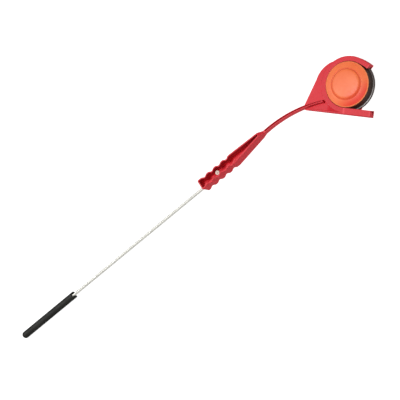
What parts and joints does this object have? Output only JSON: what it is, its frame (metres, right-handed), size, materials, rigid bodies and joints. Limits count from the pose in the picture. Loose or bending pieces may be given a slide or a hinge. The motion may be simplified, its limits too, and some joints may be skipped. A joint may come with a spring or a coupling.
{
  "type": "clay target thrower",
  "caption": "Hand-held clay target thrower: finger-grooved handle, flexible neck and cradle with a loaded target, on a steel extension shaft with a rubber grip.",
  "frame": {"origin": "on the back of the cradle, under the centre of the loaded target", "axes": "+X along the shaft from the grip to the cradle, +Y towards the retaining finger, +Z out of the open front of the cradle"},
  "size_m": [0.9769, 0.1514, 0.0316],
  "materials": {
    "red_plastic": "moulded, satin",
    "plated_rod": "bright plated",
    "grip_rubber": "matt",
    "zinc_hardware": "zinc plated",
    "target_clay": "pressed pitch, dome painted orange"
  },
  "bodies": {
    "handle": {"handle_shell": "red_plastic", "neck_root": "red_plastic", "extension_rod": "plated_rod", "rubber_grip": "grip_rubber", "clamp_screw": "zinc_hardware", "nut_washer": "zinc_hardware", "clamp_nut": "zinc_hardware"},
    "cradle": {"neck_tip": "red_plastic", "neck_rib": "red_plastic", "cradle_plate": "red_plastic", "edge_flange": "red_plastic", "seat_wall": "red_plastic", "launch_rail": "red_plastic"},
    "finger": {"retaining_finger": "red_plastic"},
    "target": {"clay_target": "target_clay"}
  },
  "joints": [
    {"name": "neck_flex", "type": "hinge", "parent": "handle", "child": "cradle", "pos_m": [-0.15047, 0.03564, 0.0075], "axis": [0, 0, 1], "range_deg": [-10, 10], "stiffness_Nm_per_rad": 3},
    {"name": "clay_release", "type": "slide", "parent": "cradle", "child": "target", "axis": [0.7133, -0.7009, 0], "range_m": [0, 0.04]},
    {"name": "finger_flex", "type": "hinge", "parent": "cradle", "child": "finger", "pos_m": [0.00405, 0.05786, 0.01], "axis": [0, 0, 1], "range_deg": [0, 16.5], "stiffness_Nm_per_rad": 1}
  ],
  "couplings": [
    {"joint": "finger_flex", "follows": "clay_release", "rad_per_m": 6.9813}
  ]
}
